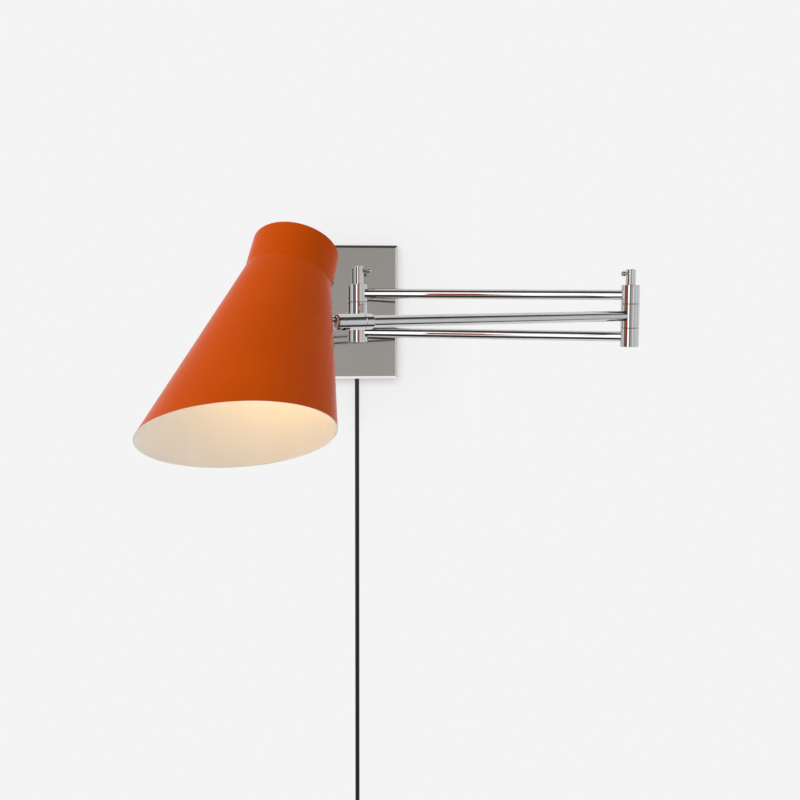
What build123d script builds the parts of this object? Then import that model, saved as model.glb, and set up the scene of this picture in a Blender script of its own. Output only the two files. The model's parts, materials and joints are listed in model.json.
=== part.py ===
from build123d import *
import os
from math import cos, pi, radians, sin, tan

# A plug-in wall lamp on a folding double arm: a tall backplate, a pair of
# parallel tubes that swing on the wall hinge, a single tube that folds
# between them at the elbow, and a spun cone shade that swivels and tilts on
# the end of the arm. Millimetres. +Z is up, the wall is the plane Y = 0 and
# the room is at -Y. The origin is the middle of the wall bolt pattern.
os.makedirs("parts", exist_ok=True)

# ---------------------------------------------------------------- dimensions
# backplate and what stands behind it
PLATE_W, PLATE_H, PLATE_D = 108.0, 178.0, 20.0
PLATE_T, PLATE_BEVEL, PLATE_CORNER = 1.6, 3.4, 1.0
BOX_SPACING = 88.9  # wall box screws, centre to centre
SLOT_W, SLOT_L = 5.2, 14.0
# hinges
HINGE_OUT = 46.0  # wall to hinge axis
BARREL_R, BARREL_HALF, MIDDLE_HALF = 11.5, 38.0, 15.0
BORE_R, BOLT_R, BOLT_BORE_R = 4.5, 4.45, 2.9
WASHER_T, WASHER_GAP = 0.4, 0.05
CLAMP_R = 6.3
WALL_CLAMP_TOP, ELBOW_CLAMP_TOP = 61.5, 57.0
LEVER_R, BALL_R, BALL_OUT = 1.6, 3.4, 12.7
# arms
TUBE_R, TUBE_WALL = 6.35, 1.2
REAR_LEN, TUBE_Z = 352.0, 25.5
REAR_SWING, FRONT_SWING = 23.0, 151.0  # from +X toward the room, at rest
FRONT_TUBE_END, COLLAR_START, COLLAR_END = 389.5, 383.7, 394.4
COLLAR_R = 8.35
SLEEVE_START, SLEEVE_END = 394.5, 409.0
FORK_END, FORK_NOSE, FORK_NOSE_R = 427.0, 429.5, 4.85
TILT_AT = 420.0  # the tilt pin, along the front arm
SPINDLE_R, SPINDLE_BORE_R, SPINDLE_CLEAR = 5.0, 3.0, 0.05
SLOT_HALF, EYE_HALF, EYE_R, TILT_PIN_R = 3.1, 3.0, 6.0, 2.0
# shade
SWIVEL, TILT = 26.0, 61.5  # rest pose of the shade
NECK_R, NECK_H = 45.0, 41.5
CONE_HALF_ANGLE = 13.6
MOUTH_AT, MOUTH_SLANT = 184.5, 19.5
SHELL_T = 1.0
FOOT_AT, FOOT_OUT = 17.0, 19.5  # the tilt pin beside the cone
# lamp
HOLDER_R, HOLDER_BORE_R = 17.0, 13.7
KNOB_AT, KNOB_R, KNOB_OUT = -26.0, 3.6, 5.0
KNOB_TURN = -6.0  # from the arm's side, about the shade's axis
# cord
CORD_R, CORD_Y = 3.0, -10.0
CORD_STRAIGHT_END = -684.0
COIL_R = 33.0


# ------------------------------------------------------------ frames of place
def direction(angle):
    """A level direction, turned from +X toward the room."""
    return Vector(cos(radians(angle)), -sin(radians(angle)), 0)


def level(origin, z):
    return Plane(origin=(origin.X, origin.Y, z), x_dir=(1, 0, 0), z_dir=(0, 0, 1))


HINGE = Vector(0, -HINGE_OUT, 0)
REAR_DIR, FRONT_DIR = direction(REAR_SWING), direction(FRONT_SWING)
ELBOW = HINGE + REAR_DIR * REAR_LEN
TIP = ELBOW + FRONT_DIR * TILT_AT

# The shade swings in the plane of the arm and of DROP, which is straight down
# turned by the swivel angle about the arm.
SIDE = Vector(-FRONT_DIR.Y, FRONT_DIR.X, 0)
SIDE = SIDE if SIDE.Y < 0 else SIDE * -1
DROP = Vector(0, 0, -1) * cos(radians(SWIVEL)) + SIDE * sin(radians(SWIVEL))
PIN_DIR = FRONT_DIR.cross(DROP)  # along the tilt pin
AXIS = FRONT_DIR * cos(radians(TILT)) + DROP * sin(radians(TILT))  # neck to mouth
BACK = DROP * cos(radians(TILT)) - FRONT_DIR * sin(radians(TILT))  # toward the arm
KNOB_DIR = BACK * cos(radians(KNOB_TURN)) + AXIS.cross(BACK) * sin(radians(KNOB_TURN))
TAPER = tan(radians(CONE_HALF_ANGLE))
REACH_END = ELBOW + FRONT_DIR * (TILT_AT + 2)
NECK = REACH_END - AXIS * FOOT_AT - BACK * (NECK_R + FOOT_AT * TAPER + FOOT_OUT - 2)
# the cone's outward normal on the arm's side, and the tilt pin's foot on it
OUT = BACK * cos(radians(CONE_HALF_ANGLE)) - AXIS * sin(radians(CONE_HALF_ANGLE))
FOOT_DIR = OUT * -1
FOOT_DIST = (TIP - NECK - BACK * NECK_R).dot(OUT)
FOOT = TIP + FOOT_DIR * FOOT_DIST
DOWN_CONE = AXIS * cos(radians(CONE_HALF_ANGLE)) + BACK * sin(radians(CONE_HALF_ANGLE))

shade_plane = Plane(origin=NECK, x_dir=BACK, z_dir=AXIS)
shade_profile = Plane(origin=NECK, x_dir=BACK, z_dir=PIN_DIR * -1)
arm_profile = Plane(origin=ELBOW, x_dir=FRONT_DIR, z_dir=PIN_DIR)
print("tilt pin", TIP, "neck", NECK, "axis", AXIS, "back", BACK, "pin", PIN_DIR)
print("foot", FOOT, "foot distance", FOOT_DIST, "elbow", ELBOW)


def across(origin, along, distance):
    """A plane square to a direction, some way along it."""
    return Plane(origin=origin + along * distance, z_dir=along)


def write(part, name):
    part.part.label = name
    export_step(part.part, f"parts/{name}.step")


# ------------------------------------------------------------------ backplate
# A pan with a bevelled rim, open at the wall.
with BuildPart() as wall_plate:
    with BuildSketch(Plane.XZ):
        Rectangle(PLATE_W, PLATE_H)
    extrude(amount=PLATE_D)
    chamfer(wall_plate.faces().sort_by(Axis.Y)[0].edges(), PLATE_BEVEL)
    fillet(wall_plate.edges().filter_by(Axis.Y), PLATE_CORNER)
    with BuildSketch(Plane.XZ):
        Rectangle(PLATE_W - 2 * PLATE_T, PLATE_H - 2 * PLATE_T)
    extrude(amount=PLATE_D - PLATE_BEVEL - 0.6, mode=Mode.SUBTRACT)
    with BuildSketch(Plane.XZ):
        Rectangle(PLATE_W - 2 * PLATE_BEVEL - PLATE_T, PLATE_H - 2 * PLATE_BEVEL - PLATE_T)
    extrude(amount=PLATE_D - PLATE_T, mode=Mode.SUBTRACT)
    with BuildSketch(Plane.XZ.offset(PLATE_D - 3)):
        Circle(5.1)
    extrude(amount=4, mode=Mode.SUBTRACT)
    with BuildSketch(Plane.XY.offset(-PLATE_H / 2 - 1)):
        with Locations((0, CORD_Y)):
            Circle(4.3)
        with Locations((30, -6.0)):
            Circle(2.1)
    extrude(amount=4, mode=Mode.SUBTRACT)
    with BuildSketch(Plane.XY.offset(PLATE_H / 2 - 3)):
        with Locations((0, -6.0)):
            Circle(2.1)
    extrude(amount=4, mode=Mode.SUBTRACT)
    # countersinks for the two screws
    with Locations(
        Plane(origin=(0, -6, PLATE_H / 2 - 0.8), z_dir=(0, 0, 1)),
        Plane(origin=(30, -6, -PLATE_H / 2 + 0.8), z_dir=(0, 0, -1)),
    ):
        Cone(1.7, 3.3, 1.6, mode=Mode.SUBTRACT)
write(wall_plate, "wall_plate")

# The crossbar behind it: feet on the wall, a raised bridge and two tabs.
TAB_Z = PLATE_H / 2 - PLATE_T - 0.3
with BuildPart() as mounting_bracket:
    with Locations((0, -1, 56), (0, -1, -56)):
        Box(60, 2, 2 * (TAB_Z - 56))
    with Locations((0, -6, 25.6), (0, -6, -25.6)):
        Box(60, 12, 2)
    with Locations((0, -11, 0)):
        Box(60, 2, 53.2)
    with Locations((0, -5.5, TAB_Z - 1)):
        Box(18, 11, 2)
    with Locations((30 - 9, -5.5, -TAB_Z + 1)):
        Box(18, 11, 2)
    with BuildSketch(Plane.XZ.offset(-1)):
        with Locations((0, BOX_SPACING / 2), (0, -BOX_SPACING / 2)):
            SlotOverall(SLOT_L, SLOT_W, rotation=90)
    extrude(amount=4, mode=Mode.SUBTRACT)
    with BuildSketch(Plane.XZ.offset(8)):
        Circle(5.0)
        with Locations((20, 12)):
            Circle(1.7)
    extrude(amount=6, mode=Mode.SUBTRACT)
    with BuildSketch(Plane.XY.offset(-30)):
        with Locations((0, -5.2)):
            Circle(4.2)
    extrude(amount=8, mode=Mode.SUBTRACT)
    with BuildSketch(Plane.XY.offset(TAB_Z - 3)):
        with Locations((0, -6.0)):
            Circle(1.65)
    extrude(amount=4, mode=Mode.SUBTRACT)
    with BuildSketch(Plane.XY.offset(-TAB_Z - 1)):
        with Locations((30, -6.0)):
            Circle(1.65)
    extrude(amount=4, mode=Mode.SUBTRACT)
write(mounting_bracket, "mounting_bracket")

# Two small countersunk screws hold the pan to the tabs, top and bottom; their
# heads are flush.
with BuildPart() as cover_screws:
    for plane in (
        Plane(origin=(0, -6, PLATE_H / 2), z_dir=(0, 0, 1)),
        Plane(origin=(30, -6, -PLATE_H / 2), z_dir=(0, 0, -1)),
    ):
        with BuildSketch(plane.offset(-6)):
            Circle(1.6)
        extrude(amount=5.9)
        with Locations(plane.offset(-0.85)):
            Cone(1.6, 3.1, 1.5)
        with BuildSketch(plane.offset(-0.8)):
            Rectangle(0.7, 5)
        extrude(amount=2, mode=Mode.SUBTRACT)
write(cover_screws, "cover_screws")

with BuildPart() as ground_screw:
    with BuildSketch(Plane.XZ.offset(9.6)):
        with Locations((20, 12)):
            Circle(1.6)
    extrude(amount=2.4)
    with BuildSketch(Plane.XZ.offset(12)):
        with Locations((20, 12)):
            RegularPolygon(4.2, 6)
    extrude(amount=2.2)
    with BuildSketch(Plane.XZ.offset(13.4)):
        with Locations((20, 12)):
            Rectangle(1.0, 9)
    extrude(amount=2, mode=Mode.SUBTRACT)
write(ground_screw, "ground_screw")

# The post that carries the wall hinge, with a flange on the plate.
with BuildPart() as hinge_post:
    with BuildSketch(Plane.XZ.offset(PLATE_D)):
        Circle(10.0)
    extrude(amount=2.2)
    chamfer(hinge_post.faces().sort_by(Axis.Y)[0].edges(), 0.8)
    with BuildSketch(Plane.XZ.offset(PLATE_D)):
        Circle(TUBE_R)
    extrude(amount=HINGE_OUT - PLATE_D - 4)
    with BuildSketch(Plane.XZ.offset(PLATE_D)):
        Circle(5.0)
    extrude(amount=10, mode=Mode.SUBTRACT)
    with BuildSketch(Plane.XZ.offset(PLATE_D)):
        Circle(2.9)
    extrude(amount=30, mode=Mode.SUBTRACT)
    with BuildSketch(level(HINGE, -20)):
        Circle(BARREL_R)
    extrude(amount=40, mode=Mode.SUBTRACT)
write(hinge_post, "hinge_post")

with BuildPart() as threaded_nipple:
    with BuildSketch(Plane.XZ.offset(6.0)):
        Circle(4.9)
        Circle(3.2, mode=Mode.SUBTRACT)
    extrude(amount=PLATE_D + 3.0)
write(threaded_nipple, "threaded_nipple")

# one nut behind the bridge, one behind the pan
with BuildPart() as lock_nuts:
    for y in (6.2, PLATE_D - PLATE_T - 3.0):
        with BuildSketch(Plane.XZ.offset(y)):
            RegularPolygon(8.2, 6)
            Circle(4.95, mode=Mode.SUBTRACT)
        extrude(amount=3.0)
write(lock_nuts, "lock_nuts")

with BuildPart() as lock_washer:
    with BuildSketch(Plane.XZ.offset(9.2)):
        Circle(8.4)
        Circle(5.1, mode=Mode.SUBTRACT)
        with Locations((6.8, 0)):
            Rectangle(4, 0.8, mode=Mode.SUBTRACT)
    extrude(amount=0.8)
write(lock_washer, "lock_washer")


# --------------------------------------------------------------------- hinges
def washer_levels():
    return (MIDDLE_HALF - WASHER_T - WASHER_GAP, -MIDDLE_HALF + WASHER_GAP)


MIDDLE = MIDDLE_HALF - WASHER_T - 2 * WASHER_GAP  # half height of a middle knuckle

# wall hinge, the knuckle on the post
with BuildPart() as wall_knuckle_middle:
    with BuildSketch(level(HINGE, -MIDDLE)):
        Circle(BARREL_R)
        Circle(BORE_R, mode=Mode.SUBTRACT)
    extrude(amount=2 * MIDDLE)
    chamfer(
        wall_knuckle_middle.edges().filter_by(GeomType.CIRCLE).filter_by(
            lambda e: e.radius > BARREL_R - 1
        ),
        0.3,
    )
    with BuildSketch(Plane.XZ.offset(HINGE_OUT - BARREL_R - 1)):
        Circle(2.9)
    extrude(amount=BARREL_R, mode=Mode.SUBTRACT)
write(wall_knuckle_middle, "wall_knuckle_middle")


def outer_knuckle(origin, low, high, counterbore, wire_dir=None, wire_z=0.0):
    """An end knuckle of a hinge: bored, its rims eased, and either
    counterbored below for the bolt's head or drilled for the lead."""
    with BuildPart() as knuckle:
        with BuildSketch(level(origin, low)):
            Circle(BARREL_R)
            Circle(BORE_R, mode=Mode.SUBTRACT)
        extrude(amount=high - low)
        chamfer(
            knuckle.edges().filter_by(GeomType.CIRCLE).filter_by(
                lambda e: e.radius > BARREL_R - 1
            ),
            0.35,
        )
        if counterbore:
            with BuildSketch(level(origin, low)):
                Circle(8.1)
            extrude(amount=3.0, mode=Mode.SUBTRACT)
        if wire_dir is not None:
            with BuildSketch(Plane(origin=Vector(origin.X, origin.Y, wire_z), z_dir=wire_dir)):
                Circle(2.9)
            extrude(amount=BARREL_R + 2, mode=Mode.SUBTRACT)
    return knuckle


wall_knuckle_upper = outer_knuckle(HINGE, MIDDLE_HALF, BARREL_HALF, False, REAR_DIR, TUBE_Z)
wall_knuckle_lower = outer_knuckle(HINGE, -BARREL_HALF, -MIDDLE_HALF, True)
elbow_knuckle_upper = outer_knuckle(ELBOW, MIDDLE_HALF, BARREL_HALF, False, REAR_DIR * -1, TUBE_Z)
elbow_knuckle_lower = outer_knuckle(ELBOW, -BARREL_HALF, -MIDDLE_HALF, True)
elbow_knuckle_middle = outer_knuckle(ELBOW, -MIDDLE, MIDDLE, False, FRONT_DIR, 0.0)
write(wall_knuckle_upper, "wall_knuckle_upper")
write(wall_knuckle_lower, "wall_knuckle_lower")
write(elbow_knuckle_upper, "elbow_knuckle_upper")
write(elbow_knuckle_lower, "elbow_knuckle_lower")
write(elbow_knuckle_middle, "elbow_knuckle_middle")


def thrust_washers(origin):
    with BuildPart() as washers:
        for z in washer_levels():
            with BuildSketch(level(origin, z)):
                Circle(BARREL_R - 0.5)
                Circle(BORE_R + 0.15, mode=Mode.SUBTRACT)
            extrude(amount=WASHER_T)
    return washers


wall_washers = thrust_washers(HINGE)
elbow_washers = thrust_washers(ELBOW)
write(wall_washers, "wall_washers")
write(elbow_washers, "elbow_washers")


def hinge_bolt(origin, windows):
    """A hollow bolt that the lead passes through, its head in the lower
    knuckle and its top in the clamp nut."""
    with BuildPart() as bolt:
        with BuildSketch(level(origin, -BARREL_HALF + 0.2)):
            Circle(8.0)
        extrude(amount=2.8)
        with BuildSketch(level(origin, -BARREL_HALF + 3.0)):
            Circle(BOLT_R)
        extrude(amount=BARREL_HALF - 3.0 + 46.5)
        with BuildSketch(level(origin, -BARREL_HALF + 6.0)):
            Circle(BOLT_BORE_R)
        extrude(amount=BARREL_HALF + 50, mode=Mode.SUBTRACT)
        with BuildSketch(level(origin, -BARREL_HALF)):
            RegularPolygon(3.0, 6)
        extrude(amount=2.0, mode=Mode.SUBTRACT)
        for z, way in windows:
            with BuildSketch(Plane(origin=Vector(origin.X, origin.Y, z), z_dir=way)):
                Circle(2.3)
            extrude(amount=8, mode=Mode.SUBTRACT)
    return bolt


wall_hinge_bolt = hinge_bolt(HINGE, ((0.0, Vector(0, 1, 0)), (TUBE_Z, REAR_DIR)))
elbow_hinge_bolt = hinge_bolt(ELBOW, ((TUBE_Z, REAR_DIR * -1), (0.0, FRONT_DIR)))
write(wall_hinge_bolt, "wall_hinge_bolt")
write(elbow_hinge_bolt, "elbow_hinge_bolt")


def clamp_nut(origin, top, lever_dir, lever_z):
    with BuildPart() as nut:
        with BuildSketch(level(origin, BARREL_HALF + 0.1)):
            Circle(CLAMP_R)
        extrude(amount=top - BARREL_HALF - 0.1)
        chamfer(nut.edges().group_by(Axis.Z)[-1], 0.7)
        with BuildSketch(level(origin, BARREL_HALF)):
            Circle(BORE_R)
        extrude(amount=9.5, mode=Mode.SUBTRACT)
        with BuildSketch(Plane(origin=Vector(origin.X, origin.Y, lever_z), z_dir=lever_dir)):
            Circle(LEVER_R + 0.05)
        extrude(amount=10, mode=Mode.SUBTRACT)
    return nut


def clamp_lever(origin, lever_dir, lever_z):
    """A short pin with a ball on its end, turned in one piece."""
    base = Vector(origin.X, origin.Y, lever_z)
    neck = 2.0
    ball_start = BALL_OUT - (BALL_R**2 - neck**2) ** 0.5
    with BuildPart() as lever:
        with BuildSketch(Plane(origin=base, x_dir=lever_dir, z_dir=lever_dir.cross(Vector(0, 0, 1)))):
            with BuildLine():
                Polyline(
                    (BALL_OUT + BALL_R, 0),
                    (0.6, 0),
                    (0.6, LEVER_R),
                    (CLAMP_R + 0.2, LEVER_R),
                    (ball_start, neck),
                )
                ThreePointArc(
                    (ball_start, neck), (BALL_OUT, BALL_R), (BALL_OUT + BALL_R, 0)
                )
            make_face()
        revolve(axis=Axis(base, lever_dir))
    return lever


WALL_LEVER_DIR, WALL_LEVER_Z = direction(8.0), WALL_CLAMP_TOP - 5.9
ELBOW_LEVER_DIR, ELBOW_LEVER_Z = direction(150.0), ELBOW_CLAMP_TOP - 5.3
wall_clamp_nut = clamp_nut(HINGE, WALL_CLAMP_TOP, WALL_LEVER_DIR, WALL_LEVER_Z)
wall_clamp_lever = clamp_lever(HINGE, WALL_LEVER_DIR, WALL_LEVER_Z)
elbow_clamp_nut = clamp_nut(ELBOW, ELBOW_CLAMP_TOP, ELBOW_LEVER_DIR, ELBOW_LEVER_Z)
elbow_clamp_lever = clamp_lever(ELBOW, ELBOW_LEVER_DIR, ELBOW_LEVER_Z)
write(wall_clamp_nut, "wall_clamp_nut")
write(wall_clamp_lever, "wall_clamp_lever")
write(elbow_clamp_nut, "elbow_clamp_nut")
write(elbow_clamp_lever, "elbow_clamp_lever")


# ----------------------------------------------------------------- arm tubes
def rear_tube(z):
    """One of the two parallel tubes, coped onto a barrel at each end."""
    with BuildPart() as tube:
        with BuildSketch(Plane(origin=HINGE + Vector(0, 0, z) + REAR_DIR * 6, z_dir=REAR_DIR)):
            Circle(TUBE_R)
            Circle(TUBE_R - TUBE_WALL, mode=Mode.SUBTRACT)
        extrude(amount=REAR_LEN - 12)
        for end in (HINGE, ELBOW):
            with BuildSketch(level(end, z - 12)):
                Circle(BARREL_R)
            extrude(amount=24, mode=Mode.SUBTRACT)
    return tube


rear_tube_upper = rear_tube(TUBE_Z)
rear_tube_lower = rear_tube(-TUBE_Z)
write(rear_tube_upper, "rear_tube_upper")
write(rear_tube_lower, "rear_tube_lower")

with BuildPart() as front_tube:
    with BuildSketch(across(ELBOW, FRONT_DIR, 6)):
        Circle(TUBE_R)
        Circle(TUBE_R - TUBE_WALL, mode=Mode.SUBTRACT)
    extrude(amount=FRONT_TUBE_END - 6)
    with BuildSketch(level(ELBOW, -12)):
        Circle(BARREL_R)
    extrude(amount=24, mode=Mode.SUBTRACT)
write(front_tube, "front_tube")

# the fixed collar on the end of the front tube
with BuildPart() as end_collar:
    with BuildSketch(arm_profile):
        with BuildLine():
            Polyline(
                (COLLAR_START, TUBE_R),
                (COLLAR_START, COLLAR_R - 1.0),
                (COLLAR_START + 1.0, COLLAR_R),
                (COLLAR_END - 0.3, COLLAR_R),
                (COLLAR_END, COLLAR_R - 0.3),
                (COLLAR_END, SPINDLE_R + 0.02),
                (FRONT_TUBE_END, SPINDLE_R + 0.02),
                (FRONT_TUBE_END, TUBE_R),
                close=True,
            )
        make_face()
    revolve(axis=Axis(ELBOW, FRONT_DIR))
write(end_collar, "end_collar")

# the hollow spindle that the swivel turns on, with its retaining nut
with BuildPart() as swivel_spindle:
    with BuildSketch(across(ELBOW, FRONT_DIR, 376.0)):
        Circle(SPINDLE_R)
        Circle(SPINDLE_BORE_R, mode=Mode.SUBTRACT)
    extrude(amount=27.5)
write(swivel_spindle, "swivel_spindle")

with BuildPart() as spindle_nut:
    with BuildSketch(across(ELBOW, FRONT_DIR, 399.7)):
        RegularPolygon(6.5, 6)
        Circle(SPINDLE_R + 0.02, mode=Mode.SUBTRACT)
    extrude(amount=2.8)
write(spindle_nut, "spindle_nut")

# -------------------------------------------------------------------- swivel
with BuildPart() as swivel_sleeve:
    with BuildSketch(arm_profile):
        with BuildLine():
            Polyline(
                (SLEEVE_START, SPINDLE_R + SPINDLE_CLEAR),
                (SLEEVE_START, COLLAR_R - 0.3),
                (SLEEVE_START + 0.3, COLLAR_R),
                (SLEEVE_END, COLLAR_R),
                (SLEEVE_END, 6.95),
                (399.5, 6.95),
                (399.5, SPINDLE_R + SPINDLE_CLEAR),
                close=True,
            )
        make_face()
    revolve(axis=Axis(ELBOW, FRONT_DIR))
write(swivel_sleeve, "swivel_sleeve")

# The fork screws into the sleeve; its nose is rounded and slotted through.
with BuildPart() as swivel_fork:
    with BuildSketch(arm_profile):
        with BuildLine():
            Polyline(
                (404.5, 2.7),
                (404.5, 6.9),
                (SLEEVE_END, 6.9),
                (SLEEVE_END, COLLAR_R),
                (FORK_END, COLLAR_R),
            )
            ThreePointArc(
                (FORK_END, COLLAR_R), (FORK_END + 1.75, 6.95), (FORK_NOSE, FORK_NOSE_R)
            )
            Polyline((FORK_NOSE, FORK_NOSE_R), (FORK_NOSE, 0), (412.0, 0), (412.0, 2.7), (404.5, 2.7))
        make_face()
    revolve(axis=Axis(ELBOW, FRONT_DIR))
    with BuildSketch(across(ELBOW, FRONT_DIR, 404.0)):
        Circle(2.7)
    extrude(amount=12, mode=Mode.SUBTRACT)
    # the slot for the shade's eye
    with BuildSketch(Plane(origin=ELBOW + PIN_DIR * -SLOT_HALF, x_dir=FRONT_DIR, z_dir=PIN_DIR)):
        with Locations((TILT_AT - EYE_R - 0.6 + 10, 0)):
            Rectangle(20, 30)
    extrude(amount=2 * SLOT_HALF, mode=Mode.SUBTRACT)
    with BuildSketch(Plane(origin=TIP - PIN_DIR * 10, x_dir=FRONT_DIR, z_dir=PIN_DIR)):
        Circle(TILT_PIN_R)
    extrude(amount=20, mode=Mode.SUBTRACT)
write(swivel_fork, "swivel_fork")

with BuildPart() as tilt_pin:
    with BuildSketch(Plane(origin=TIP - PIN_DIR * 7.9, x_dir=FRONT_DIR, z_dir=PIN_DIR)):
        Circle(TILT_PIN_R)
    extrude(amount=15.8)
    with BuildSketch(Plane(origin=TIP + PIN_DIR * 7.2, x_dir=FRONT_DIR, z_dir=PIN_DIR)):
        Rectangle(0.7, 6)
    extrude(amount=2, mode=Mode.SUBTRACT)
write(tilt_pin, "tilt_pin")


# --------------------------------------------------------------------- shade
def outer(a):
    return NECK_R + max(a, 0.0) * TAPER


INNER_SIDE = SHELL_T / cos(radians(CONE_HALF_ANGLE))
REACH = 236.0
with BuildPart() as shade:
    with BuildSketch(shade_profile):
        with BuildLine():
            Polyline(
                (NECK_R - 2.5, -NECK_H),
                (5.3, -NECK_H),
                (5.3, -NECK_H + SHELL_T),
                (NECK_R - 2.5, -NECK_H + SHELL_T),
            )
            TangentArc(
                (NECK_R - 2.5, -NECK_H + SHELL_T),
                (NECK_R - SHELL_T, -NECK_H + 2.5),
                tangent=(1, 0),
            )
            Polyline(
                (NECK_R - SHELL_T, -NECK_H + 2.5),
                (NECK_R - SHELL_T, (INNER_SIDE - SHELL_T) / TAPER),
                (outer(REACH) - INNER_SIDE, REACH),
                (outer(REACH), REACH),
                (NECK_R, 0),
                (NECK_R, -NECK_H + 2.5),
            )
            TangentArc((NECK_R, -NECK_H + 2.5), (NECK_R - 2.5, -NECK_H), tangent=(0, -1))
        make_face()
    revolve(axis=Axis(NECK, AXIS))
    # The mouth is cut aslant, shortest on the arm's side.
    mouth_normal = AXIS * cos(radians(MOUTH_SLANT)) + BACK * sin(radians(MOUTH_SLANT))
    split(
        bisect_by=Plane(origin=NECK + AXIS * MOUTH_AT, z_dir=mouth_normal),
        keep=Keep.BOTTOM,
    )
    # holes for the lug's screws and lead, and for the switch's shaft
    with BuildSketch(Plane(origin=FOOT - FOOT_DIR * 6, x_dir=DOWN_CONE, z_dir=FOOT_DIR)):
        Circle(3.0)
        with Locations((6.8, 0), (-6.8, 0)):
            Circle(1.6)
    extrude(amount=12, mode=Mode.SUBTRACT)
    with BuildSketch(Plane(origin=NECK + AXIS * KNOB_AT + KNOB_DIR * 40, z_dir=KNOB_DIR)):
        Circle(2.4)
    extrude(amount=10, mode=Mode.SUBTRACT)
write(shade, "shade")

# The lug: an eye on the tilt pin, a round stem, and a foot that follows the
# cone's wall.
with BuildPart() as shade_lug:
    with BuildSketch(Plane(origin=TIP - PIN_DIR * EYE_HALF, x_dir=FOOT_DIR, z_dir=PIN_DIR)):
        Circle(EYE_R)
        with Locations((6.0, 0)):
            Rectangle(12.0, 8.4)
    extrude(amount=2 * EYE_HALF)
    with BuildSketch(Plane(origin=TIP + FOOT_DIR * 11.2, z_dir=FOOT_DIR)):
        Circle(4.85)
    extrude(amount=FOOT_DIST - 11.2)
    with BuildSketch(Plane(origin=TIP + FOOT_DIR * (FOOT_DIST - 2.2), z_dir=FOOT_DIR)):
        Circle(10.5)
    extrude(amount=4.2)
    with BuildSketch(Plane(origin=TIP - PIN_DIR * 10, x_dir=FOOT_DIR, z_dir=PIN_DIR)):
        Circle(TILT_PIN_R + 0.05)
    extrude(amount=20, mode=Mode.SUBTRACT)
    with BuildSketch(Plane(origin=TIP + FOOT_DIR * 4.2, z_dir=FOOT_DIR)):
        Circle(2.1)
    extrude(amount=30, mode=Mode.SUBTRACT)
    with BuildSketch(
        Plane(origin=TIP + FOOT_DIR * (FOOT_DIST - 1.6), x_dir=DOWN_CONE, z_dir=FOOT_DIR)
    ):
        with Locations((6.8, 0), (-6.8, 0)):
            Circle(1.25)
    extrude(amount=8, mode=Mode.SUBTRACT)
    with BuildSketch(shade_profile):
        with BuildLine():
            Polyline(
                (0, -NECK_H - 5), (NECK_R, -NECK_H - 5), (NECK_R, 0), (outer(120), 120), (0, 120), close=True
            )
        make_face()
    revolve(axis=Axis(NECK, AXIS), mode=Mode.SUBTRACT)
write(shade_lug, "shade_lug")

with BuildPart() as lug_screws:
    for step in (6.8, -6.8):
        at = FOOT + DOWN_CONE * step
        with BuildSketch(Plane(origin=at - FOOT_DIR * 1.4, z_dir=FOOT_DIR)):
            Circle(1.25)
        extrude(amount=1.4 + SHELL_T + 0.6)
        with BuildSketch(Plane(origin=at + FOOT_DIR * (SHELL_T + 0.5), z_dir=FOOT_DIR)):
            Circle(2.6)
        head = extrude(amount=1.7)
        chamfer(head.faces().sort_by(Axis(at, FOOT_DIR))[-1].edges(), 0.6)
        with BuildSketch(Plane(origin=at + FOOT_DIR * (SHELL_T + 1.5), z_dir=FOOT_DIR)):
            Rectangle(0.7, 6)
            Rectangle(6, 0.7)
        extrude(amount=2, mode=Mode.SUBTRACT)
write(lug_screws, "lug_screws")

# ---------------------------------------------------------------- lampholder
HOLDER_TOP = -NECK_H + SHELL_T + 3.2
with BuildPart() as lampholder:
    with BuildSketch(shade_profile):
        with BuildLine():
            Polyline(
                (5.1, HOLDER_TOP),
                (HOLDER_R - 3, HOLDER_TOP),
                (HOLDER_R, HOLDER_TOP + 3),
                (HOLDER_R, 2.0),
                (HOLDER_R + 1.6, 2.0),
                (HOLDER_R + 1.6, 5.0),
                (HOLDER_BORE_R, 5.0),
                (HOLDER_BORE_R, HOLDER_TOP + 6),
                (5.1, HOLDER_TOP + 6),
                close=True,
            )
        make_face()
    revolve(axis=Axis(NECK, AXIS))
    with BuildSketch(shade_plane.offset(HOLDER_TOP + 9)):
        with PolarLocations(HOLDER_R + 0.4, 24):
            Circle(0.8)
    extrude(amount=14, mode=Mode.SUBTRACT)
write(lampholder, "lampholder")

with BuildPart() as holder_nipple:
    with BuildSketch(shade_plane.offset(-NECK_H - 4.0)):
        Circle(5.0)
        Circle(3.4, mode=Mode.SUBTRACT)
    extrude(amount=4.0 + SHELL_T + 3.2 + 5.4)
write(holder_nipple, "holder_nipple")

with BuildPart() as holder_nuts:
    with BuildSketch(shade_plane.offset(-NECK_H - 3.0)):
        RegularPolygon(8.2, 6)
        Circle(5.05, mode=Mode.SUBTRACT)
    extrude(amount=3.0)
    with BuildSketch(shade_plane.offset(-NECK_H + SHELL_T)):
        RegularPolygon(8.2, 6)
        Circle(5.05, mode=Mode.SUBTRACT)
    extrude(amount=3.0)
write(holder_nuts, "holder_nuts")

with BuildPart() as holder_contact:
    with BuildSketch(shade_plane.offset(HOLDER_TOP + 6.1)):
        Circle(4.6)
    extrude(amount=0.8)
    with BuildSketch(shade_plane.offset(HOLDER_TOP + 6.9)):
        Circle(2.2)
    extrude(amount=1.0)
write(holder_contact, "holder_contact")

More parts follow.
